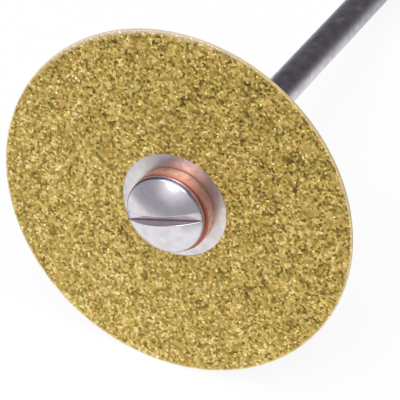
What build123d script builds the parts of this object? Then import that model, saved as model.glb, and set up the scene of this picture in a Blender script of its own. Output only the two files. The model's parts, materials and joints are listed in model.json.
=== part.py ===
from build123d import *
import os
from math import atan2, cos, degrees, radians, sin, sqrt

# Diamond cutting disc clamped on a screw mandrel, in millimetres.
# It lies as it comes to rest: on the disc's rim and on the tail of the shank.
# Each piece is made about its own axis, which is Z, with the screw's head up.
# Z = 0 there is the seat on the mandrel's flange, where the back of the disc bears.

# Cutting disc: a thin steel blank with grit bonded to both faces outside a bare ring
disc_diameter = 25.0
blank_thickness = 0.12
coat_thickness = 0.04          # on each face
bare_ring_diameter = 7.5
rim_break = 0.03               # small bevel on both edges of the rim
rim_seam_turn = 1.607          # degrees, so that a facet of the meshed rim lies flat on the table, not a corner

# Clamp screw: slotted, with a domed head
head_diameter = 5.5
head_side_height = 0.5
head_side_draft = 0.05         # how much smaller the radius is at the top of the side
head_crown_rise = 0.85
head_edge_radius = 0.45        # between the side and the crown
head_underside_break = 0.06
slot_width = 0.65
slot_depth = 0.85              # below the top of the crown
slot_turn = 18.7               # degrees from the level line across the head
thread_diameter = 1.6
thread_engagement = 3.9        # how far the stem reaches into the mandrel
stem_point = 0.25              # bevel at the end of the stem
undercut_depth = 0.12          # groove under the head, where the thread runs out
undercut_length = 0.5

# Thick copper washer between the head and the disc
washer_diameter = 5.7
washer_thickness = 1.0
washer_edge_radius = 0.08
washer_side_play = 0.08        # it sits off the axis by this much, within its clearance
washer_play_turn = -45.0       # degrees, the way in which it sits off the axis

# Mandrel: flange, hub with the tapped hole, taper and parallel shank, turned in one piece
flange_diameter = 5.6
flange_thickness = 1.0
flange_break = 0.12
hub_diameter = 4.2
hub_length = 4.6
hub_corner_radius = 0.25       # between the hub and the flange
taper_length = 3.2
shank_diameter = 2.35
mandrel_length = 44.5          # from the flange's seat to the end of the shank
tail_break = 0.3
drill_clearance = 0.6          # tapped hole beyond the end of the stem
drill_point_angle = 118.0
hole_mouth_break = 0.15

# Clearances
bore_clearance = 0.1           # stem in the disc and the washer, on the radius
thread_clearance = 0.03        # stem in the tapped hole, on the radius

disc_radius = disc_diameter / 2
head_radius = head_diameter / 2
shank_radius = shank_diameter / 2
stem_radius = thread_diameter / 2
stem_hole_radius = stem_radius + bore_clearance
tapped_hole_radius = stem_radius + thread_clearance
head_seat = blank_thickness + washer_thickness


def turned(points_and_arcs):
    """Solid of revolution about Z from a closed outline drawn in the XZ plane."""
    face = make_face(Plane.XZ * points_and_arcs)
    return revolve(face, Axis.Z)


def diamond_disc():
    """Blank and grit coat as one plate: a thin centre ring, then the thicker coated zone with its bevelled rim."""
    ring_radius = bare_ring_diameter / 2
    front = blank_thickness + coat_thickness
    back = -coat_thickness
    outline = Polyline(
        (stem_hole_radius, 0),
        (ring_radius, 0),
        (ring_radius, back),
        (disc_radius - rim_break, back),
        (disc_radius, back + rim_break),
        (disc_radius, front - rim_break),
        (disc_radius - rim_break, front),
        (ring_radius, front),
        (ring_radius, blank_thickness),
        (stem_hole_radius, blank_thickness),
        close=True,
    )
    return Rot(0, 0, rim_seam_turn) * turned(outline)


def copper_washer():
    """Plain thick washer with rounded edges, standing slightly to one side of the screw."""
    radius = washer_diameter / 2
    ring = Cylinder(radius, washer_thickness, align=(Align.CENTER, Align.CENTER, Align.MIN))
    hole = Cylinder(stem_hole_radius, washer_thickness, align=(Align.CENTER, Align.CENTER, Align.MIN))
    washer = ring - hole
    circles = washer.edges().filter_by(GeomType.CIRCLE)
    outer_circles = circles.filter_by(lambda edge: edge.radius > stem_hole_radius + washer_edge_radius)
    washer = fillet(outer_circles, washer_edge_radius)
    return Rot(0, 0, washer_play_turn) * Pos(washer_side_play, 0, blank_thickness) * washer


def head_body():
    """Head: a drafted side under a spherical crown, with the edge between them rounded."""
    side_top = head_seat + head_side_height
    shoulder_radius = head_radius - head_side_draft
    crown_top = side_top + head_crown_rise
    crown_radius = (shoulder_radius ** 2 + head_crown_rise ** 2) / (2 * head_crown_rise)
    crown_centre = crown_top - crown_radius
    halfway = shoulder_radius / 2
    crown_middle = (halfway, crown_centre + sqrt(crown_radius ** 2 - halfway ** 2))
    outline = Curve() + [
        Polyline(
            (0, crown_top),
            (0, head_seat),
            (head_radius - head_underside_break, head_seat),
            (head_radius, head_seat + head_underside_break),
            (shoulder_radius, side_top),
        ),
        ThreePointArc((shoulder_radius, side_top), crown_middle, (0, crown_top)),
    ]
    head = turned(outline)
    rings = head.edges().filter_by(lambda edge: edge.is_closed)
    shoulder = rings.sort_by(Axis.Z)[-1]
    return fillet(shoulder, head_edge_radius)


def slot_cutter():
    """Straight flat-bottomed slot across the whole head."""
    crown_top = head_seat + head_side_height + head_crown_rise
    cutter = Box(2 * head_diameter, slot_width, 2 * slot_depth)
    return Pos(0, 0, crown_top) * Rot(0, 0, slot_turn) * cutter


def screw_stem():
    """Stem with a groove under the head and a bevelled point."""
    groove_radius = stem_radius - undercut_depth
    groove_end = head_seat - undercut_length
    outline = Polyline(
        (0, head_seat + head_underside_break),
        (groove_radius, head_seat + head_underside_break),
        (groove_radius, groove_end),
        (stem_radius, groove_end - undercut_depth),
        (stem_radius, -thread_engagement + stem_point),
        (stem_radius - stem_point, -thread_engagement),
        (0, -thread_engagement),
        close=True,
    )
    return turned(outline)


def clamp_screw():
    return head_body() + screw_stem() - slot_cutter()


def mandrel_body():
    """Flange, hub, taper and shank turned from one bar."""
    flange_radius = flange_diameter / 2
    hub_radius = hub_diameter / 2
    hub_end = -flange_thickness - hub_length
    taper_end = hub_end - taper_length
    corner_centre = (hub_radius + hub_corner_radius, -flange_thickness - hub_corner_radius)
    diagonal = hub_corner_radius * sqrt(0.5)
    corner_start = (corner_centre[0], -flange_thickness)
    corner_middle = (corner_centre[0] - diagonal, corner_centre[1] + diagonal)
    corner_end = (hub_radius, corner_centre[1])
    outline = Curve() + [
        Polyline(
            (0, 0),
            (flange_radius - flange_break, 0),
            (flange_radius, -flange_break),
            (flange_radius, -flange_thickness + flange_break),
            (flange_radius - flange_break, -flange_thickness),
            corner_start,
        ),
        ThreePointArc(corner_start, corner_middle, corner_end),
        Polyline(
            corner_end,
            (hub_radius, hub_end),
            (shank_radius, taper_end),
            (shank_radius, -mandrel_length + tail_break),
            (shank_radius - tail_break, -mandrel_length),
            (0, -mandrel_length),
            (0, 0),
        ),
    ]
    return turned(outline)


def tapped_hole():
    """Blind hole with a bevelled mouth and a drilled point."""
    depth = thread_engagement + drill_clearance
    point_depth = tapped_hole_radius / sin(radians(drill_point_angle / 2)) * cos(radians(drill_point_angle / 2))
    outline = Polyline(
        (0, 0),
        (tapped_hole_radius + hole_mouth_break, 0),
        (tapped_hole_radius, -hole_mouth_break),
        (tapped_hole_radius, -depth),
        (0, -depth - point_depth),
        close=True,
    )
    return turned(outline)


def mandrel():
    return mandrel_body() - tapped_hole()


def lying_attitude():
    """Turn and lift that lay the assembly on the rim's back edge and the shank's tail."""
    rim_back = coat_thickness - rim_break
    tail_corner = mandrel_length - tail_break
    slope = atan2(disc_radius - shank_radius, tail_corner - rim_back)
    height = disc_radius * cos(slope) + rim_back * sin(slope)
    return Pos(0, 0, height) * Rot(90 - degrees(slope), 0, 0)


def centred_on_the_table(pieces):
    """Moves the laid pieces along the table until the middle of their box stands over the origin."""
    box = Compound(pieces.values()).bounding_box()
    shift = Pos(-(box.min.X + box.max.X) / 2, -(box.min.Y + box.max.Y) / 2, -box.min.Z)
    return {name: shift * piece for name, piece in pieces.items()}


def assembly():
    upright = {
        "diamond_disc": diamond_disc(),
        "copper_washer": copper_washer(),
        "clamp_screw": clamp_screw(),
        "mandrel": mandrel(),
    }
    attitude = lying_attitude()
    laid = {name: attitude * piece for name, piece in upright.items()}
    return centred_on_the_table(laid)


os.makedirs("parts", exist_ok=True)
for name, piece in assembly().items():
    export_step(piece, f"parts/{name}.step")
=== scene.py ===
import json
import math

import bmesh
import bpy
import numpy as np
from mathutils import Matrix, Vector
from mathutils.geometry import delaunay_2d_cdt


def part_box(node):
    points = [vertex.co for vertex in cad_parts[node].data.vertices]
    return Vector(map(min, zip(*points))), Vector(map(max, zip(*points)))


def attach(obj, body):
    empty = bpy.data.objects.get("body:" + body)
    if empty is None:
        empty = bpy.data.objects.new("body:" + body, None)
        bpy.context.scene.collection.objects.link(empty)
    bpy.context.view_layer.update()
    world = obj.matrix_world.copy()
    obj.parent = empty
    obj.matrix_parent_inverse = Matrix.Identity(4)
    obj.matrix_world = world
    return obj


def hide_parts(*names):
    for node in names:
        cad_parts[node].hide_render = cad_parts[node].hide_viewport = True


# Diamond cutting disc on its screw mandrel.
# Sizes are in millimetres in the object's own frame: Z is the turning axis with the screw's head up,
# and Z = 0 is the seat on the mandrel's flange, where the back of the disc bears.
# Angles are in degrees about Z, from the level line across the disc.

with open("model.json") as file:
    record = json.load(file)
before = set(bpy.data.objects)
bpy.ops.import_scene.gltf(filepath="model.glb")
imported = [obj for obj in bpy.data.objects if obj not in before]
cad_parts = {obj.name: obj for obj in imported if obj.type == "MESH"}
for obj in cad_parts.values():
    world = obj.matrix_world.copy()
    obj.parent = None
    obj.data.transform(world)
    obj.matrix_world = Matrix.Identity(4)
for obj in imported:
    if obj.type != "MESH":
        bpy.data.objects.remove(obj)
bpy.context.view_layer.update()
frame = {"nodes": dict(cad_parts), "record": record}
print("frame loaded:", sorted(frame["nodes"]))

millimetre = 0.001

disc = {
    "diameter": 25.0,
    "blank": 0.12,                 # thickness of the steel blank
    "coat": 0.04,                  # mean thickness of the grit on each face
    "ringDiameter": 7.5,           # bare ring in the middle
    "boreDiameter": 1.8,
    "edgeRound": 0.015,
    "rimCover": 0.04,              # how far the coat reaches past the blank
    "segments": 360,
    "finish": {
        "colour": (0.85, 0.81, 0.81),
        "roughness": 0.30,
        "markScale": 9.0,
        "markDepth": 0.0035,
        "unevenness": 0.0,
    },
    "paintedShading": {                      # painted reflection of the washer and head: the bare ring darker and browner on one side
        "colour": (0.40, 0.33, 0.36),
        "turn": 76.0,
        "spread": 74.0,
        "strength": 0.85,
    },
}

# The object's own frame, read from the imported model
shankWay = Vector(frame["record"]["mounts"][0]["axis"]).normalized()
faceWay = -shankWay                # the way the screw's head looks
sideWay = Vector((1.0, 0.0, 0.0))
riseWay = faceWay.cross(sideWay)
discLow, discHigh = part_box("diamond_disc")
seat = (discLow + discHigh) / 2 - faceWay * disc["blank"] / 2 * millimetre
ownAxes = np.array([sideWay, riseWay, faceWay])
ownTurn = Matrix((sideWay, riseWay, faceWay)).transposed().to_euler()


# Mesh helpers

def toWorld(points):
    # Own millimetres to metres in the shared frame: seat, plus each coordinate along its own axis.
    return np.array(seat) + points @ ownAxes * millimetre


def flatWay(degrees):
    # Unit vector in the disc's plane.
    turn = math.radians(degrees)
    return np.array([math.cos(turn), math.sin(turn), 0.0])


def evenAngles(count):
    return np.arange(count) * 2 * math.pi / count


def circle(radius, count):
    angles = evenAngles(count)
    return radius * np.stack([np.cos(angles), np.sin(angles)], -1)


def gridFaces(rows, columns, closed=False):
    # Quads between neighbouring rows and columns of a grid stored row by row.
    # With closed, the last column joins the first.
    i, j = np.meshgrid(np.arange(rows - 1), np.arange(columns if closed else columns - 1), indexing="ij")
    k = (j + 1) % columns
    quads = [i * columns + j, (i + 1) * columns + j, (i + 1) * columns + k, i * columns + k]
    return np.stack(quads, -1).reshape(-1, 4)


def lathe(profile, angles, swell=0.0):
    # Point (i, j) stands at profile point i, which is (radius + swell, height), turned to angle j about Z.
    # Outward faces need a profile that runs from the top middle outwards and down.
    radius = profile[:, :1] + swell
    height = np.broadcast_to(profile[:, 1:], (len(profile), len(angles)))
    points = np.stack([radius * np.cos(angles), radius * np.sin(angles), height], -1)
    return points.reshape(-1, 3), gridFaces(len(profile), len(angles), closed=True)


def roundedPath(corners, steps=6):
    # Each corner is (radius, height, round): a sharp point,
    # or an arc of that round about a centre on the corner's bisector, tangent to both of its sides.
    points = np.array([corner[:2] for corner in corners], float)
    sizes = [corner[2] for corner in corners[1:-1]]
    share = np.linspace(0, 1, steps + 1)[:, None]
    path = [points[:1]]
    for before, corner, after, size in zip(points, points[1:], points[2:], sizes):
        if size == 0:
            path.append(corner[None])
            continue
        back = (before - corner) / np.linalg.norm(before - corner)
        ahead = (after - corner) / np.linalg.norm(after - corner)
        half = math.acos(np.clip(back @ ahead, -1, 1)) / 2
        reach = size / math.tan(half)
        middle = back + ahead
        centre = corner + middle / np.linalg.norm(middle) * size / math.sin(half)
        sweep = math.pi - 2 * half
        start = corner + back * reach - centre
        end = corner + ahead * reach - centre
        arc = (np.sin((1 - share) * sweep) * start + np.sin(share * sweep) * end) / math.sin(sweep)
        path.append(centre + arc)
    path.append(points[-1:])
    return np.concatenate(path)


def makePiece(name, patches, material, node, smooth=True, sharpAngle=35.0):
    # One closed mesh from patches of (points, faces) that share their edge points.
    mesh = bpy.data.meshes.new(name)
    points = np.concatenate([toWorld(patch[0]) for patch in patches])
    offsets = np.cumsum([0] + [len(patch[0]) for patch in patches[:-1]])
    faces = sum([(patch[1] + offset).tolist() for patch, offset in zip(patches, offsets)], [])
    mesh.from_pydata(points.tolist(), [], faces)
    work = bmesh.new()
    work.from_mesh(mesh)
    bmesh.ops.remove_doubles(work, verts=work.verts, dist=0.0004 * millimetre)
    bmesh.ops.dissolve_degenerate(work, edges=work.edges, dist=0.0001 * millimetre)
    work.to_mesh(mesh)
    work.free()
    if smooth:
        mesh.shade_smooth()
        mesh.set_sharp_from_angle(angle=math.radians(sharpAngle))
    else:
        mesh.shade_flat()
    mesh.materials.append(material)
    piece = bpy.data.objects.new(name, mesh)
    bpy.context.scene.collection.objects.link(piece)
    if smooth:
        normals = piece.modifiers.new("normals", "WEIGHTED_NORMAL")
        normals.keep_sharp = True
    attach(piece, "root")
    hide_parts(node)
    print("piece", name, len(mesh.vertices), "points", len(mesh.polygons), "faces")
    return piece


# Node helpers

def newMaterial(name, **sockets):
    # A Principled material whose plain values are set on the shader's own sockets.
    material = bpy.data.materials.new(name)
    material.use_nodes = True
    shader = material.node_tree.nodes["Principled BSDF"]
    for socket, value in sockets.items():
        shader.inputs[socket].default_value = value
    return material, material.node_tree, shader


def addNode(tree, kind, inputs=None, **settings):
    # A node with its settings, and its inputs by name or number set to a value or joined to a socket.
    node = tree.nodes.new(kind)
    for setting, value in settings.items():
        setattr(node, setting, value)
    for key, value in (inputs or {}).items():
        if isinstance(value, bpy.types.NodeSocket):
            tree.links.new(value, node.inputs[key])
        else:
            node.inputs[key].default_value = value
    return node


def mathNode(tree, operation, first, second=0.0, clamp=False):
    node = addNode(tree, "ShaderNodeMath", {0: first, 1: second}, operation=operation, use_clamp=clamp)
    return node.outputs[0]


def lengthNode(tree, vector):
    return addNode(tree, "ShaderNodeVectorMath", {0: vector}, operation="LENGTH").outputs["Value"]


def dotNode(tree, vector, way):
    inputs = {0: vector, 1: tuple(way)}
    return addNode(tree, "ShaderNodeVectorMath", inputs, operation="DOT_PRODUCT").outputs["Value"]


def joinNode(tree, x, y, z=0.0):
    return addNode(tree, "ShaderNodeCombineXYZ", {0: x, 1: y, 2: z}).outputs[0]


def splitNode(tree, vector):
    return addNode(tree, "ShaderNodeSeparateXYZ", {0: vector}).outputs


def rangeNode(tree, value, low, high, outLow=0.0, outHigh=1.0, smooth=True):
    kind = "SMOOTHSTEP" if smooth else "LINEAR"
    inputs = {"Value": value, "From Min": low, "From Max": high, "To Min": outLow, "To Max": outHigh}
    return addNode(tree, "ShaderNodeMapRange", inputs, interpolation_type=kind).outputs[0]


def noiseNode(tree, place, scale, detail=2.0, roughness=0.5):
    inputs = {"Vector": place, "Scale": scale, "Detail": detail, "Roughness": roughness}
    return addNode(tree, "ShaderNodeTexNoise", inputs).outputs["Fac"]


def rampNode(tree, value, stops):
    node = addNode(tree, "ShaderNodeValToRGB", {0: value})
    ramp = node.color_ramp
    while len(ramp.elements) < len(stops):
        ramp.elements.new(0.5)
    for element, (position, colour) in zip(ramp.elements, stops):
        element.position = position
        element.color = (*colour, 1.0)
    return node.outputs[0]


def mixColour(tree, factor, first, second, blend="MIX"):
    node = addNode(tree, "ShaderNodeMix", data_type="RGBA", blend_type=blend)
    for socket, value in zip((node.inputs[0], node.inputs[6], node.inputs[7]), (factor, first, second)):
        if isinstance(value, bpy.types.NodeSocket):
            tree.links.new(value, socket)
        else:
            socket.default_value = value if isinstance(value, float) else (*value, 1.0)
    return node.outputs[2]


def mixNumber(tree, factor, first, second):
    # first at factor 0 and second at factor 1
    return addNode(tree, "ShaderNodeMix", {0: factor, 2: first, 3: second}, data_type="FLOAT").outputs[0]


def bumpNode(tree, height, depth, below=None):
    # A bump of this depth in millimetres, over another bump if one is given.
    inputs = {"Height": height, "Distance": depth * millimetre, "Strength": 1.0}
    node = addNode(tree, "ShaderNodeBump", inputs)
    if below is not None:
        tree.links.new(below, node.inputs["Normal"])
    return node.outputs[0]


def ownPlace(tree):
    # Object coordinates turned into the object's own millimetres.
    place = addNode(tree, "ShaderNodeTexCoord")
    mapping = addNode(tree, "ShaderNodeMapping", {0: place.outputs["Object"]}, vector_type="TEXTURE")
    mapping.inputs["Location"].default_value = seat
    mapping.inputs["Rotation"].default_value = ownTurn
    mapping.inputs["Scale"].default_value = (millimetre,) * 3
    return mapping.outputs[0]


def roundPlace(tree, place):
    # (radius, angle, height) of a point in the object's own frame, in millimetres and radians.
    x, y, height = splitNode(tree, place)
    radius = lengthNode(tree, joinNode(tree, x, y))
    return radius, mathNode(tree, "ARCTAN2", y, x), height


def ringPlace(tree, place, around):
    # (radius, height, a share of the angle): noise read there runs in fine rings about the axis.
    radius, angle, height = roundPlace(tree, place)
    return joinNode(tree, radius, height, mathNode(tree, "MULTIPLY", angle, around))


def towardAngle(tree, angle, degrees):
    # Cosine of the way round from an angle: 1 there and -1 opposite.
    return mathNode(tree, "COSINE", mathNode(tree, "SUBTRACT", angle, math.radians(degrees)))


def shareAround(tree, angle, stretch):
    # The stretch's strength at its turn, falling to 0 over its spread to both sides.
    toward = towardAngle(tree, angle, stretch["turn"])
    return rangeNode(tree, toward, math.cos(math.radians(stretch["spread"])), 1.0, 0.0, stretch["strength"])


def layPaintedShading(material, share, paintedShading):
    # Mixes a colour over the one that the material has.
    tree = material.node_tree
    colour = tree.nodes["Principled BSDF"].inputs["Base Color"]
    below = colour.links[0].from_socket
    tree.links.new(mixColour(tree, share, below, paintedShading), colour)


# Steel as it comes from the lathe, for the disc, the screw and the mandrel

turning = {
    "around": 0.15,                # how much of the angle the marks follow: less is longer marks
    "smearScale": 1.3,
    "smearShade": 0.86,
    "gloss": (0.75, 1.45),         # least and most roughness, as a share of the finish's own
    "unevenScale": 0.9,
}


def turnedSteel(name, finish):
    # Bright steel with fine rings left by turning, faint smears in its gloss and a slightly uneven surface.
    material, tree, shader = newMaterial(name, Metallic=1.0)
    place = ownPlace(tree)
    ring = ringPlace(tree, place, turning["around"])
    marks = noiseNode(tree, ring, finish["markScale"], detail=3.0, roughness=0.6)
    smear = noiseNode(tree, place, turning["smearScale"], detail=4.0, roughness=0.6)
    smeared = tuple(channel * turning["smearShade"] for channel in finish["colour"])
    colour = mixColour(tree, rangeNode(tree, smear, 0.35, 0.7), finish["colour"], smeared)
    tree.links.new(colour, shader.inputs["Base Color"])
    least, most = [share * finish["roughness"] for share in turning["gloss"]]
    tree.links.new(rangeNode(tree, smear, 0.3, 0.75, least, most, smooth=False), shader.inputs["Roughness"])
    uneven = bumpNode(tree, noiseNode(tree, place, turning["unevenScale"], detail=1.0), finish["unevenness"])
    tree.links.new(bumpNode(tree, marks, finish["markDepth"], below=uneven), shader.inputs["Normal"])
    return material


# Disc: steel blank, bare in the middle, and grit on both faces outside the ring

def discBlank():
    # Flat ring from the bore to just inside the rim, with slightly rounded edges.
    bore = disc["boreDiameter"] / 2
    rim = disc["diameter"] / 2 - disc["rimCover"]
    thick = disc["blank"]
    edge = disc["edgeRound"]
    corners = [
        (bore, thick / 2, 0),
        (bore, thick, edge),
        (rim, thick, edge),
        (rim, 0, edge),
        (bore, 0, edge),
        (bore, thick / 2, 0),
    ]
    material = turnedSteel("polishedSteel", disc["finish"])
    tree = material.node_tree
    angle = roundPlace(tree, ownPlace(tree))[1]
    # Painted reflection of the washer and head: one side of the bare ring darker and browner.
    layPaintedShading(material, shareAround(tree, angle, disc["paintedShading"]), disc["paintedShading"]["colour"])
    blank = lathe(roundedPath(corners, 3), evenAngles(disc["segments"]))
    return makePiece("disc_blank", [blank], material, "diamond_disc")


grit = {
    "pointSpacing": 0.076,
    "pointScatter": 0.12,          # as a share of the spacing
    "grainSpacing": 0.165,
    "scatter": 0.85,               # how far a grain stands from the middle of its cell, as a share of it
    "relief": 0.030,               # difference in level from grain to grain
    "lift": 0.02,                  # of all grains over the coat's edges
    "tilt": 0.42,                  # slope of a grain's top
    "fall": 0.18,                  # slope from a grain's middle to its edge
    "toneSpread": 0.8,
    "toneScatter": 0.07,
    "wallTone": 0.6,
    "rimBulge": 0.008,
    "lip": 0.045,                  # how far the coat's underside stays inside the rim
    "seed": 11,
    "roughness": 0.42,
    "metallic": 0.70,
    "patchScale": 1.1,
    "patchShift": 0.16,
    "paintedLightSide": -130.0,            # the way in which the coat is painted slightly paler: painted light
    "paintedLightShift": 0.07,
    "tones": [
        (0.00, (0.100, 0.058, 0.012)),
        (0.10, (0.220, 0.145, 0.028)),
        (0.30, (0.405, 0.285, 0.060)),
        (0.55, (0.565, 0.408, 0.098)),
        (0.78, (0.745, 0.562, 0.170)),
        (0.93, (0.930, 0.740, 0.290)),
        (1.00, (1.000, 0.900, 0.540)),
    ],
    "tints": [
        (0.00, (0.86, 1.00, 0.72)),
        (0.12, (0.96, 1.00, 0.88)),
        (0.30, (1.00, 1.00, 1.00)),
        (0.80, (1.00, 0.98, 1.00)),
        (0.93, (1.00, 0.91, 1.00)),
        (1.00, (1.00, 0.82, 0.82)),
    ],
    "paintedRimHighlight": {                    # painted highlight on the rim all round, with less metal in its gloss at its very edge
        "colour": (0.88, 0.71, 0.40),
        "strength": 0.6,
        "band": (0.18, 0.02),
        "metallic": 0.15,
        "metallicBand": (0.12, 0.02),
    },
    "paintedGlint": {                      # painted highlight on the stretch of the rim that is painted palest
        "colour": (0.84, 0.70, 0.54),
        "strength": 0.75,
        "band": (0.40, 0.08),
        "turn": 113.0,
        "spread": 45.0,
    },
}


def goldGrit():
    # Each grain has its own tone and tint. Patches of darker and lighter grain lie over them,
    # the coat is painted slightly paler towards one side as painted light, and the rim is painted pale
    # as a painted highlight, most along one stretch. A band is (from, to), measured inwards from the rim.
    paintedRimHighlight = grit["paintedRimHighlight"]
    paintedGlint = grit["paintedGlint"]
    rim = disc["diameter"] / 2
    material, tree, shader = newMaterial("goldGrit", Metallic=grit["metallic"], Roughness=grit["roughness"])
    place = ownPlace(tree)
    radius, angle = roundPlace(tree, place)[:2]

    def nearRim(band, low=0.0, high=1.0):
        return rangeNode(tree, radius, rim - band[0], rim - band[1], low, high)

    tone = addNode(tree, "ShaderNodeAttribute", attribute_name="tone").outputs["Fac"]
    tint = addNode(tree, "ShaderNodeAttribute", attribute_name="tint").outputs["Fac"]
    patches = noiseNode(tree, place, grit["patchScale"], detail=3.0, roughness=0.65)
    patchTone = rangeNode(tree, patches, 0.25, 0.75, -grit["patchShift"], grit["patchShift"], smooth=False)
    # Painted light: the coat is painted slightly paler towards one side.
    toward = dotNode(tree, place, flatWay(grit["paintedLightSide"]))
    paintedLightTone = mathNode(tree, "MULTIPLY", toward, grit["paintedLightShift"] / rim)
    shifted = mathNode(tree, "ADD", tone, mathNode(tree, "ADD", paintedLightTone, patchTone), clamp=True)
    tones = rampNode(tree, shifted, grit["tones"])
    tints = rampNode(tree, tint, grit["tints"])
    grains = mixColour(tree, 1.0, tones, tints, blend="MULTIPLY")
    # Painted highlight: the rim painted pale all round, and palest along one stretch.
    colour = mixColour(tree, nearRim(paintedRimHighlight["band"], 0.0, paintedRimHighlight["strength"]), grains, paintedRimHighlight["colour"])
    paintedGlintShare = mathNode(tree, "MULTIPLY", nearRim(paintedGlint["band"]), shareAround(tree, angle, paintedGlint))
    tree.links.new(mixColour(tree, paintedGlintShare, colour, paintedGlint["colour"]), shader.inputs["Base Color"])
    metal = nearRim(paintedRimHighlight["metallicBand"], grit["metallic"], paintedRimHighlight["metallic"])
    tree.links.new(metal, shader.inputs["Metallic"])
    return material


def sunflower(inner, outer, spacing):
    # Point k stands at radius sqrt(inner^2 + k spacing^2 / pi) and at k golden angles,
    # which spaces them evenly.
    count = int(math.pi * (outer ** 2 - inner ** 2) / spacing ** 2)
    k = np.arange(count) + 0.5
    radius = np.sqrt(inner ** 2 + k * spacing ** 2 / math.pi)
    angle = k * math.pi * (3 - math.sqrt(5))
    return np.stack([radius * np.cos(angle), radius * np.sin(angle)], -1)


def nearestGrain(points, table):
    # Grains stand one to a cell of a square net, scattered inside it. The nearest of the nine around a point
    # is its grain: returns that grain's own values and the way from its middle to the point.
    size = grit["grainSpacing"]
    cell = np.floor(points / size).astype(int)
    best = np.full(len(points), np.inf)
    place = np.zeros_like(cell)
    away = np.zeros_like(points)
    half = table.shape[0] // 2
    for step in np.stack(np.meshgrid([-1, 0, 1], [-1, 0, 1]), -1).reshape(-1, 2):
        near = cell + step
        index = near + half
        middle = (near + 0.5 + grit["scatter"] * (table[index[:, 0], index[:, 1], :2] - 0.5)) * size
        way = points - middle
        distance = np.linalg.norm(way, axis=1)
        closer = distance < best
        best = np.where(closer, distance, best)
        place = np.where(closer[:, None], index, place)
        away = np.where(closer[:, None], way, away)
    return table[place[:, 0], place[:, 1]], away


def grainyFace(side, innerCircle, outerCircle):
    # Height of a point over the coat's mean level = the grain's own level + its tilt times the way from its
    # middle - its fall times the distance from its middle + the lift. At both edges of the coat it is 0.
    random = np.random.default_rng(grit["seed"] + side)
    inner = disc["ringDiameter"] / 2
    outer = disc["diameter"] / 2
    half = disc["blank"] / 2
    spacing = grit["pointSpacing"]
    field = sunflower(inner + 0.6 * spacing, outer - 0.6 * spacing, spacing)
    field = field + random.normal(0, grit["pointScatter"] * spacing, field.shape)
    solved = delaunay_2d_cdt(np.concatenate([innerCircle, outerCircle, field]).tolist(), [], [], 0, 1e-7)
    plan = np.array(solved[0])
    triangles = np.array(solved[2])
    radius = np.linalg.norm(plan, axis=1)
    onInner = radius < inner + 0.01 * spacing
    onEdge = onInner | (radius > outer - 0.01 * spacing)
    triangles = triangles[~onInner[triangles].all(axis=1)]

    # Random values of each grain: 0 and 1 place it in its cell, 2 and 3 tilt it, 4 is its level, 5 its tone
    # and 6 its tint. The last is spare.
    cells = 2 * int(outer / grit["grainSpacing"] + 3)
    table = random.random((cells, cells, 8))
    grain, away = nearestGrain(plan, table)
    tilt = (grain[:, 2:4] - 0.5) * 2 * grit["tilt"]
    level = grit["relief"] * (grain[:, 4] - 0.5) + (tilt * away).sum(1)
    relief = level - grit["fall"] * np.linalg.norm(away, axis=1) + grit["lift"]
    relief = np.where(onEdge, 0, relief)
    top = half + disc["coat"] + np.maximum(relief, -0.5 * disc["coat"])

    faceGrain, _ = nearestGrain(plan[triangles].mean(axis=1), table)
    scatter = random.normal(0, grit["toneScatter"], len(triangles))
    tones = np.clip(0.5 + (faceGrain[:, 5] - 0.5) * grit["toneSpread"] + scatter, 0, 1)
    return np.column_stack([plan, half + side * top]), triangles, tones, faceGrain[:, 6]


def gritCoat(name, side, material):
    # The grainy face, closed by walls at the ring and the rim and by a flat underside on the blank.
    # Side is 1 on the front of the disc and -1 on its back.
    inner = disc["ringDiameter"] / 2
    outer = disc["diameter"] / 2
    half = disc["blank"] / 2
    innerCircle = circle(inner, int(2 * math.pi * inner / grit["pointSpacing"]))
    outerCircle = circle(outer, int(2 * math.pi * outer / grit["pointSpacing"]))
    points, triangles, tones, tints = grainyFace(side, innerCircle, outerCircle)
    edgeHeight = half + side * (half + disc["coat"])
    blankTop = half + side * half
    lip = outer - grit["lip"]
    bulge = grit["rimBulge"]
    rimProfile = np.array([
        (outer, edgeHeight),
        (outer + bulge, half + side * (half + 0.2 * disc["coat"])),
        (outer + bulge, half + side * 0.3 * half),
        (outer - bulge / 2, half),
        (lip, half),
        (lip, blankTop),
    ])
    rim = lathe(rimProfile, evenAngles(len(outerCircle)))
    ring = lathe(np.array([(inner, blankTop), (inner, edgeHeight)]), evenAngles(len(innerCircle)))
    lipCircle = outerCircle * lip / outer
    under = delaunay_2d_cdt(np.concatenate([innerCircle, lipCircle]).tolist(), [], [], 0, 1e-7)
    underPlan = np.array(under[0])
    underFaces = np.array(under[2])
    onInner = np.linalg.norm(underPlan, axis=1) < inner + 0.01
    underFaces = underFaces[~onInner[underFaces].all(axis=1)][:, ::-1]
    underPoints = np.column_stack([underPlan, np.full(len(underPlan), blankTop)])
    patches = [(points, triangles), rim, ring, (underPoints, underFaces)]
    if side < 0:
        patches = [(patch[0], patch[1][:, ::-1]) for patch in patches]
    piece = makePiece(name, patches, material, "diamond_disc", smooth=False)
    count = len(piece.data.polygons)
    for label, values in (("tone", tones), ("tint", tints)):
        layer = piece.data.attributes.new(label, "FLOAT", "FACE")
        spread = np.full(count, grit["wallTone"])
        spread[:len(values)] = values[:count]
        layer.data.foreach_set("value", spread.astype(np.float32))
    return piece


# Copper washer

washer = {
    "diameter": 5.7,
    "thickness": 1.0,
    "edgeRound": 0.08,
    "sidePlay": 0.08,              # it stands off the axis by this much
    "playTurn": -45.0,             # the way in which it stands off
    "boreDiameter": 1.8,
    "segments": 288,
    "colour": (0.92, 0.58, 0.43),
    "roughness": 0.44,
    "markScale": 14.0,
    "markDepth": 0.006,
    "patchScale": 2.2,
    "patchShade": 0.72,
    "paintedHeadShade": (0.50, 0.16, 0.13),
    "footColour": (0.52, 0.28, 0.21),
    "footShare": 0.6,
    "footRise": 0.55,           # how far up its side the darker, browner colour reaches from the disc
}
headSeat = disc["blank"] + washer["thickness"]


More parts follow.
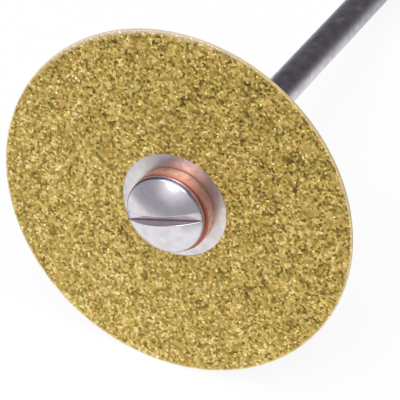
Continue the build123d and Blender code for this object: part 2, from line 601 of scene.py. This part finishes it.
def satinCopper():
    # Copper with turning marks, painted shade in deep red on its flat face under the screw's head,
    # and darker and browner towards the disc.
    material, tree, shader = newMaterial("satinCopper", Metallic=1.0, Roughness=washer["roughness"])
    place = ownPlace(tree)
    height = splitNode(tree, place)[2]
    marks = noiseNode(tree, ringPlace(tree, place, 0.3), washer["markScale"], detail=3.0, roughness=0.6)
    patches = noiseNode(tree, place, washer["patchScale"], detail=3.0, roughness=0.6)
    dull = tuple(channel * washer["patchShade"] for channel in washer["colour"])
    body = mixColour(tree, rangeNode(tree, patches, 0.4, 0.7), washer["colour"], dull)
    foot = disc["blank"]
    # Darker and browner towards the disc.
    low = rangeNode(tree, height, foot + washer["footRise"], foot + 0.02, 0.0, washer["footShare"])
    body = mixColour(tree, low, body, washer["footColour"])
    # Painted shade: deep red on the flat face under the screw's head.
    onFace = rangeNode(tree, height, headSeat - 0.10, headSeat - 0.02)
    tree.links.new(mixColour(tree, onFace, body, washer["paintedHeadShade"]), shader.inputs["Base Color"])
    tree.links.new(bumpNode(tree, marks, washer["markDepth"]), shader.inputs["Normal"])
    return material


def copperWasher():
    # Thick ring with rounded outer edges, moved to one side by its play.
    bore = washer["boreDiameter"] / 2
    rim = washer["diameter"] / 2
    low = disc["blank"]
    edge = washer["edgeRound"]
    corners = [
        (bore, (low + headSeat) / 2, 0),
        (bore, headSeat, 0),
        (rim, headSeat, edge),
        (rim, low, edge),
        (bore, low, 0),
        (bore, (low + headSeat) / 2, 0),
    ]
    points, faces = lathe(roundedPath(corners), evenAngles(washer["segments"]))
    points += washer["sidePlay"] * flatWay(washer["playTurn"])
    return makePiece("copper_washer_ring", [(points, faces)], satinCopper(), "copper_washer")


# Screw with its domed, slotted head

screw = {
    "headDiameter": 5.5,
    "sideHeight": 0.5,
    "crownRise": 0.85,
    "edgeRound": 0.35,
    "undersideBreak": 0.06,
    "slotWidth": 0.65,
    "slotDepth": 0.85,
    "slotTurn": 18.7,
    "slotEdgeRound": 0.05,
    "threadDiameter": 1.6,
    "threadPitch": 0.35,
    "threadDepth": 0.20,
    "threadRunOut": 0.25,
    "engagement": 3.9,
    "point": 0.25,
    "grooveDepth": 0.12,
    "grooveLength": 0.5,
    "finish": {
        "colour": (0.77, 0.75, 0.79),
        "roughness": 0.17,
        "markScale": 7.0,
        "markDepth": 0.002,
        "unevenness": 0.010,
    },
    # painted reflection of the dark room on the head's rounded edge
    "paintedEdgeReflection": {
        "dark": (0.21, 0.20, 0.36),
        "pale": (0.60, 0.60, 0.70),
        "turn": 122.0,             # where it is darkest
        "low": -0.15,              # its lower and upper edge, from the top of the head's side
        "high": 0.03,
        "fade": 0.04,
        "width": 0.16,             # on the radius
    },
    "slotFinish": {
        "dark": (0.64, 0.56, 0.59),
        "pale": (0.88, 0.80, 0.82),
        # painted shade in the slot's corners
        "cornerShade": (0.40, 0.33, 0.36),
        "cornerShadeReach": 0.16,        # from the corners between walls and floor
        "roughness": 0.40,
        "lineScale": 9.0,
    },
}
sideTop = headSeat + screw["sideHeight"]
slotFloor = sideTop + screw["crownRise"] - screw["slotDepth"]


def paintEdgeReflection(material):
    # Painted reflection on the rounded edge of the head, between its crown and its side, darkest on one side
    # where it stands for the dark room.
    paintedShading = screw["paintedEdgeReflection"]
    tree = material.node_tree
    radius, angle, height = roundPlace(tree, ownPlace(tree))
    low = sideTop + paintedShading["low"]
    high = sideTop + paintedShading["high"]
    inside = screw["headDiameter"] / 2 - paintedShading["width"]
    above = rangeNode(tree, height, low - paintedShading["fade"], low)
    below = rangeNode(tree, height, high + paintedShading["fade"], high)
    outer = rangeNode(tree, radius, inside - paintedShading["fade"], inside)
    share = mathNode(tree, "MULTIPLY", mathNode(tree, "MULTIPLY", above, below), outer)
    darkness = rangeNode(tree, towardAngle(tree, angle, paintedShading["turn"]), -0.2, 0.85)
    layPaintedShading(material, share, mixColour(tree, darkness, paintedShading["pale"], paintedShading["dark"]))


def dullSlot(material):
    # The slot's walls are saw-cut, duller and lined along the slot, with painted shade in its corners.
    # Its floor keeps the head's polish.
    finish = screw["slotFinish"]
    tree = material.node_tree
    shader = tree.nodes["Principled BSDF"]
    polished = shader.inputs["Base Color"].links[0].from_socket
    gloss = shader.inputs["Roughness"].links[0].from_socket
    place = ownPlace(tree)
    along = dotNode(tree, place, flatWay(screw["slotTurn"]))
    across = dotNode(tree, place, flatWay(screw["slotTurn"] + 90))
    height = splitNode(tree, place)[2]
    half = screw["slotWidth"] / 2
    fromMiddle = mathNode(tree, "ABSOLUTE", across)
    inside = rangeNode(tree, fromMiddle, half + 0.015, half + 0.002, smooth=False)
    onWall = rangeNode(tree, height, slotFloor + 0.004, slotFloor + 0.012, smooth=False)
    lines = joinNode(tree, mathNode(tree, "MULTIPLY", along, 0.25), across, height)
    streaks = noiseNode(tree, lines, finish["lineScale"], detail=4.0, roughness=0.7)
    wall = mixColour(tree, rangeNode(tree, streaks, 0.3, 0.7), finish["dark"], finish["pale"])
    cut = mixColour(tree, onWall, polished, wall)
    toWall = mathNode(tree, "SUBTRACT", half, fromMiddle)
    toFloor = mathNode(tree, "SUBTRACT", height, slotFloor)
    toCorner = lengthNode(tree, joinNode(tree, toWall, toFloor))
    # Painted shade in the corners between the slot's walls and floor.
    shadedCorner = rangeNode(tree, toCorner, finish["cornerShadeReach"], 0.03)
    layPaintedShading(material, inside, mixColour(tree, shadedCorner, cut, finish["cornerShade"]))
    dull = mathNode(tree, "MULTIPLY", inside, onWall)
    tree.links.new(mixNumber(tree, dull, gloss, finish["roughness"]), shader.inputs["Roughness"])


def headProfile():
    # Crown: an arc that would run from the middle to the top of the side. A small arc tangent to the crown
    # and to the straight side rounds the edge: its centre lies that round inside both of them.
    # Below it the side runs down to the bevel over the washer.
    # Returned as (radius, height) from the middle outwards.
    radius = screw["headDiameter"] / 2
    rise = screw["crownRise"]
    size = screw["edgeRound"]
    crown = (radius ** 2 + rise ** 2) / (2 * rise)
    crownMiddle = sideTop + rise - crown
    inset = radius - size
    climb = math.sqrt((crown - size) ** 2 - inset ** 2)
    lean = math.atan2(inset, climb)
    crownAngles = np.linspace(0, lean, 90)
    crownPart = np.stack([crown * np.sin(crownAngles), crownMiddle + crown * np.cos(crownAngles)], -1)
    edgeAngles = np.linspace(lean, math.pi / 2, 24)[1:]
    edgeArc = size * np.stack([np.sin(edgeAngles), np.cos(edgeAngles)], -1)
    edgePart = np.array([inset, crownMiddle + climb]) + edgeArc
    bevelTop = np.array([(radius, headSeat + screw["undersideBreak"])])
    return np.concatenate([crownPart, edgePart, bevelTop])


def screwHead():
    # The head above the slot's floor: two half crowns, each a fan of arcs that starts and ends on the slot's
    # rounded edge, and between them the slot's channel. Across the channel a column keeps its share u of the
    # chord, so its ends lie on the head's rim.
    # Also returns the profile from there down, and the angles of the rim's points.
    profile = headProfile()
    halfSlot = screw["slotWidth"] / 2
    edge = screw["slotEdgeRound"]
    halfOpening = halfSlot + edge
    rim = np.interp(-slotFloor, -profile[:, 1], profile[:, 0])
    inside = profile[(profile[:, 0] > halfOpening + 0.01) & (profile[:, 1] > slotFloor + 0.001)]
    radii = np.concatenate([[halfOpening], inside[:, 0], [rim]])

    def crownHeight(distance):
        return np.maximum(np.interp(distance, profile[:, 0], profile[:, 1]), slotFloor)

    columns = 121
    share = np.linspace(0, 1, columns)
    first = np.arcsin(np.clip(halfOpening / radii, -1, 1))[:, None]
    parts = []
    for start in (0.0, math.pi):
        angle = start + first + (math.pi - 2 * first) * share
        height = np.broadcast_to(crownHeight(radii)[:, None], angle.shape)
        points = np.stack([radii[:, None] * np.cos(angle), radii[:, None] * np.sin(angle), height], -1)
        parts.append((points.reshape(-1, 3), gridFaces(len(radii), columns)))

    # Half of the channel's section, from the rounded edge down the wall to the middle of the floor,
    # and its mirror
    bend = np.linspace(0, math.pi / 2, 6)
    floorHalf = np.linspace(halfSlot, 0, 6)[1:]
    across = np.concatenate([halfOpening - edge * np.sin(bend), np.full(3, halfSlot), floorHalf])
    drop = np.concatenate([edge * (1 - np.cos(bend)), np.full(8, edge)])
    wall = np.concatenate([np.ones(6), [0.6, 0.25, 0.0], np.zeros(5)])
    across = np.concatenate([across, -across[-2::-1]])[:, None]
    drop = np.concatenate([drop, drop[-2::-1]])[:, None]
    wall = np.concatenate([wall, wall[-2::-1]])[:, None]
    chord = np.sqrt(np.maximum(radii ** 2 - halfOpening ** 2, 0)) / math.sqrt(rim ** 2 - halfOpening ** 2)
    u = np.concatenate([-chord[::-1], chord[1:]])
    along = u * np.sqrt(rim ** 2 - across ** 2)
    top = np.maximum(crownHeight(np.hypot(along, across)) - drop, slotFloor)
    height = slotFloor + wall * (top - slotFloor)
    channel = np.stack([along, np.broadcast_to(across, along.shape), height], -1)
    parts.append((channel.reshape(-1, 3), gridFaces(len(across), len(u))))

    ends = np.unique(np.round(np.arcsin(across[:, 0] / rim), 9))
    opening = math.asin(halfOpening / rim)
    fan = opening + (math.pi - 2 * opening) * share
    angles = np.concatenate([ends[:-1], fan[:-1], math.pi + ends[:-1], math.pi + fan[:-1]])
    lower = np.concatenate([np.array([(rim, slotFloor)]), profile[profile[:, 1] < slotFloor - 0.001]])
    return parts, lower, angles


def threadSwell(heights, angles, top, low, runOut):
    # A triangle wave, 0 at the crest and the thread's depth at the root, once a pitch, wound about the axis
    # as a right-hand helix. It fades out over runOut at both ends.
    phase = heights / screw["threadPitch"] + angles / (2 * math.pi)
    wave = 1 - np.abs(2 * (phase % 1.0) - 1)
    fade = np.clip((top - heights) / runOut, 0, 1) * np.clip((heights - low) / runOut, 0, 1)
    return -screw["threadDepth"] * wave * fade


def turnedRound(points, degrees):
    # Points turned about Z.
    turn = math.radians(degrees)
    x = points[:, 0] * math.cos(turn) - points[:, 1] * math.sin(turn)
    y = points[:, 0] * math.sin(turn) + points[:, 1] * math.cos(turn)
    return np.stack([x, y, points[:, 2]], -1)


def clampScrew():
    # Head, then from the slot's floor down one lathe body: side, underside, groove, threaded stem and point.
    parts, lower, angles = screwHead()
    stem = screw["threadDiameter"] / 2
    groove = stem - screw["grooveDepth"]
    grooveEnd = headSeat - screw["grooveLength"]
    end = -screw["engagement"]
    threadTop = grooveEnd - screw["grooveDepth"]
    threadLow = end + screw["point"]
    threadHeights = np.linspace(threadTop, threadLow, 150)
    thread = np.stack([np.full(150, stem), threadHeights], -1)
    underside = lower[-1, 0] - screw["undersideBreak"]
    under = np.array([(underside, headSeat), (groove, headSeat), (groove, grooveEnd)])
    tip = np.array([(stem - screw["point"], end), (0, end)])
    profile = np.concatenate([lower, under, thread, tip])
    swell = threadSwell(profile[:, 1:], angles, threadTop, threadLow, screw["threadRunOut"])
    parts.append(lathe(profile, angles, swell * (profile[:, :1] > 0)))
    patches = [(turnedRound(points, screw["slotTurn"]), faces) for points, faces in parts]
    material = turnedSteel("headSteel", screw["finish"])
    paintEdgeReflection(material)
    dullSlot(material)
    return makePiece("slotted_screw", patches, material, "clamp_screw", sharpAngle=50.0)


# Mandrel

mandrel = {
    "flangeDiameter": 5.6,
    "flangeThickness": 1.0,
    "flangeBreak": 0.12,
    "hubDiameter": 4.2,
    "hubLength": 4.6,
    "hubCorner": 0.25,
    "hubEndRound": 0.15,
    "taperLength": 3.2,
    "taperEndRound": 0.8,
    "shankDiameter": 2.35,
    "length": 44.5,
    "tailBreak": 0.3,
    "tailRound": 0.08,
    "holeDiameter": 1.66,
    "holeDepth": 4.5,
    "drillAngle": 118.0,
    "mouthBreak": 0.15,
    "threadRunOut": 0.2,
    "segments": 192,
    "finish": {
        "colour": (0.78, 0.75, 0.79),
        "roughness": 0.34,
        "markScale": 8.0,
        "markDepth": 0.002,
        "unevenness": 0.01,
    },
}


def steelMandrel():
    # Profile from the bottom of the tapped hole up to the flange, out, and along the hub and shank
    # to the tail.
    hole = mandrel["holeDiameter"] / 2
    depth = mandrel["holeDepth"]
    mouth = mandrel["mouthBreak"]
    flange = mandrel["flangeDiameter"] / 2
    flangeBack = -mandrel["flangeThickness"]
    bevel = mandrel["flangeBreak"]
    hub = mandrel["hubDiameter"] / 2
    hubEnd = flangeBack - mandrel["hubLength"]
    shank = mandrel["shankDiameter"] / 2
    taperEnd = hubEnd - mandrel["taperLength"]
    tail = -mandrel["length"]
    tailBreak = mandrel["tailBreak"]
    drillTip = -depth - hole / math.tan(math.radians(mandrel["drillAngle"] / 2))
    thread = np.stack([np.full(150, hole), np.linspace(-depth, -mouth, 150)], -1)
    corners = [
        (hole, -mouth, 0),
        (hole + mouth, 0, 0),
        (flange - bevel, 0, 0),
        (flange, -bevel, 0),
        (flange, flangeBack + bevel, 0),
        (flange - bevel, flangeBack, 0),
        (hub, flangeBack, mandrel["hubCorner"]),
        (hub, hubEnd, mandrel["hubEndRound"]),
        (shank, taperEnd, mandrel["taperEndRound"]),
        (shank, (taperEnd + tail) / 2, 0),
        (shank, tail + tailBreak, mandrel["tailRound"]),
        (shank - tailBreak, tail, mandrel["tailRound"]),
        (0, tail, 0),
    ]
    profile = np.concatenate([[(0, drillTip)], thread, roundedPath(corners)[1:]])
    heights = profile[:, 1:]
    angles = evenAngles(mandrel["segments"])
    inThread = (profile[:, :1] < hole + 0.001) & (heights > -depth - 0.001) & (heights < 0)
    swell = threadSwell(heights, angles, -mouth, -depth, mandrel["threadRunOut"]) * inThread
    material = turnedSteel("shankSteel", mandrel["finish"])
    return makePiece("steel_mandrel", [lathe(profile, angles, swell)], material, "mandrel")


discBlank()
gritMaterial = goldGrit()
gritCoat("grit_front", 1, gritMaterial)
gritCoat("grit_back", -1, gritMaterial)
copperWasher()
clampScrew()
steelMandrel()


# Studio: floor, world, lamps and camera

studio = {
    "floorSize": 4.0,              # metres
    "floorColour": (0.93, 0.93, 0.94),
    "floorOwnLight": 0.90,         # how far the floor shows plain white to the camera and in reflections
    "pool": {                      # painted pool of light on the floor, as reflections see it, in metres
        "x": -0.004,
        "y": -0.024,
        "radius": 0.030,
        "fade": 0.026,
        "far": 0.40,
    },
    "dark": {                      # painted shadow of the disc on the floor behind it, as reflections see it
        "share": 0.08,
        "start": 0.004,
        "end": 0.036,
    },
    "front": (0.42, 0.405, 0.44),  # room in front of the disc's face
    "back": (0.062, 0.054, 0.070),  # room behind it
    "glow": {                      # around the key lamp, in degrees
        "azimuth": -9.0,
        "elevation": 45.0,
        "inner": 9.0,
        "outer": 38.0,
        "strength": 0.42,
    },
    "lamps": {
        "keyPanel": {"azimuth": -12.0, "elevation": 44.0, "distance": 0.6, "size": 0.13, "radiance": 13.0},
        "topPanel": {"azimuth": -20.0, "elevation": 80.0, "distance": 1.0, "size": 1.24, "radiance": 2.35},
    },
    "camera": {                    # distance and shifts in millimetres, focal length in pixels of the photo
        "azimuth": 25.687,
        "elevation": 45.946,
        "distance": 158.036,
        "focal": 2414.76,
        "right": 1.635,
        "up": 0.284,
    },
    "imageSize": 400,
    "sensor": 36.0,
}


def showsPlain(tree):
    # 1 for rays of the camera, mirrors and glass, else 0.
    rays = addNode(tree, "ShaderNodeLightPath")
    shown = mathNode(tree, "MAXIMUM", rays.outputs["Is Camera Ray"], rays.outputs["Is Glossy Ray"])
    return mathNode(tree, "MAXIMUM", shown, rays.outputs["Is Transmission Ray"])


def poolLight(tree):
    # What reflections see of the floor: a painted pool of light in front of the disc, fading with distance to
    # grey, and a painted shadow of the disc, dark behind it.
    pool = studio["pool"]
    dark = studio["dark"]
    place = addNode(tree, "ShaderNodeTexCoord").outputs["Object"]
    middle = (pool["x"], pool["y"], 0.0)
    away = addNode(tree, "ShaderNodeVectorMath", {0: place, 1: middle}, operation="DISTANCE").outputs["Value"]
    beyond = mathNode(tree, "MAXIMUM", mathNode(tree, "SUBTRACT", away, pool["radius"]))
    shrink = mathNode(tree, "EXPONENT", mathNode(tree, "DIVIDE", beyond, -pool["fade"]))
    lit = rangeNode(tree, shrink, 0.0, 1.0, pool["far"], 1.0, smooth=False)
    behind = rangeNode(tree, splitNode(tree, place)[1], dark["start"], dark["end"])
    return mixNumber(tree, behind, lit, dark["share"])


def makeFloor():
    half = studio["floorSize"] / 2
    mesh = bpy.data.meshes.new("floor")
    corners = [(-half, -half, 0), (half, -half, 0), (half, half, 0), (-half, half, 0)]
    mesh.from_pydata(corners, [], [(0, 1, 2, 3)])
    material = bpy.data.materials.new("paleFloor")
    material.use_nodes = True
    tree = material.node_tree
    tree.nodes.clear()
    matt = addNode(tree, "ShaderNodeBsdfDiffuse", {"Color": (*studio["floorColour"], 1.0)})
    glossy = addNode(tree, "ShaderNodeLightPath").outputs["Is Glossy Ray"]
    own = mixNumber(tree, glossy, 1.0, poolLight(tree))
    white = addNode(tree, "ShaderNodeEmission", {"Color": (1.0, 1.0, 1.0, 1.0), "Strength": own})
    share = mathNode(tree, "MULTIPLY", showsPlain(tree), studio["floorOwnLight"])
    mixed = addNode(tree, "ShaderNodeMixShader", {0: share, 1: matt.outputs[0], 2: white.outputs[0]})
    addNode(tree, "ShaderNodeOutputMaterial", {0: mixed.outputs[0]})
    mesh.materials.append(material)
    floor = bpy.data.objects.new("floor", mesh)
    bpy.context.scene.collection.objects.link(floor)


def compassWay(azimuth, elevation):
    # Direction from degrees: azimuth 0 looks at the disc's face from the front, and 90 from its right.
    around = math.radians(azimuth)
    above = math.radians(elevation)
    return Vector((math.sin(around) * math.cos(above), -math.cos(around) * math.cos(above), math.sin(above)))


def makeWorld():
    # A grey room, darker behind the disc, with a soft glow around the key lamp.
    world = bpy.data.worlds.new("studio")
    bpy.context.scene.world = world
    world.use_nodes = True
    tree = world.node_tree
    way = addNode(tree, "ShaderNodeTexCoord").outputs["Generated"]
    behind = rangeNode(tree, splitNode(tree, way)[1], -0.25, 0.45)
    room = mixColour(tree, behind, studio["front"], studio["back"])
    glow = studio["glow"]
    toward = dotNode(tree, way, compassWay(glow["azimuth"], glow["elevation"]))
    outer = math.cos(math.radians(glow["outer"]))
    inner = math.cos(math.radians(glow["inner"]))
    near = rangeNode(tree, toward, outer, inner, 0.0, glow["strength"])
    background = tree.nodes["Background"]
    tree.links.new(mixColour(tree, 1.0, room, near, blend="ADD"), background.inputs["Color"])
    background.inputs["Strength"].default_value = 1.0


def placeLamp(name, azimuth, elevation, distance, size, radiance):
    # A round panel of soft light at a direction from the disc's middle, facing it, in metres.
    # Its power is its radiance times pi times its area.
    lamp = bpy.data.lights.new(name, "AREA")
    lamp.shape = "DISK"
    lamp.size = size
    lamp.energy = radiance * math.pi * math.pi * size ** 2 / 4
    holder = bpy.data.objects.new(name, lamp)
    way = compassWay(azimuth, elevation)
    holder.location = seat + way * distance
    holder.rotation_euler = way.to_track_quat("Z", "Y").to_euler()
    bpy.context.scene.collection.objects.link(holder)


def makeCamera():
    # The camera looks back along its own direction, moved sideways and up so that the disc stands
    # as in the photo.
    view = studio["camera"]
    back = compassWay(view["azimuth"], view["elevation"])
    right = Vector((0, 0, 1)).cross(back).normalized()
    up = back.cross(right)
    data = bpy.data.cameras.new("camera")
    data.sensor_width = studio["sensor"]
    data.lens = view["focal"] / studio["imageSize"] * studio["sensor"]
    data.clip_start = 0.01
    camera = bpy.data.objects.new("camera", data)
    camera.location = seat + (back * view["distance"] + right * view["right"] + up * view["up"]) * millimetre
    camera.rotation_euler = Matrix((right, up, back)).transposed().to_euler()
    bpy.context.scene.collection.objects.link(camera)
    bpy.context.scene.camera = camera


makeFloor()
makeWorld()
for name, settings in studio["lamps"].items():
    placeLamp(name, **settings)
makeCamera()
bpy.context.scene.view_settings.view_transform = "Standard"
print("studio ready:", len(studio["lamps"]), "lamps")
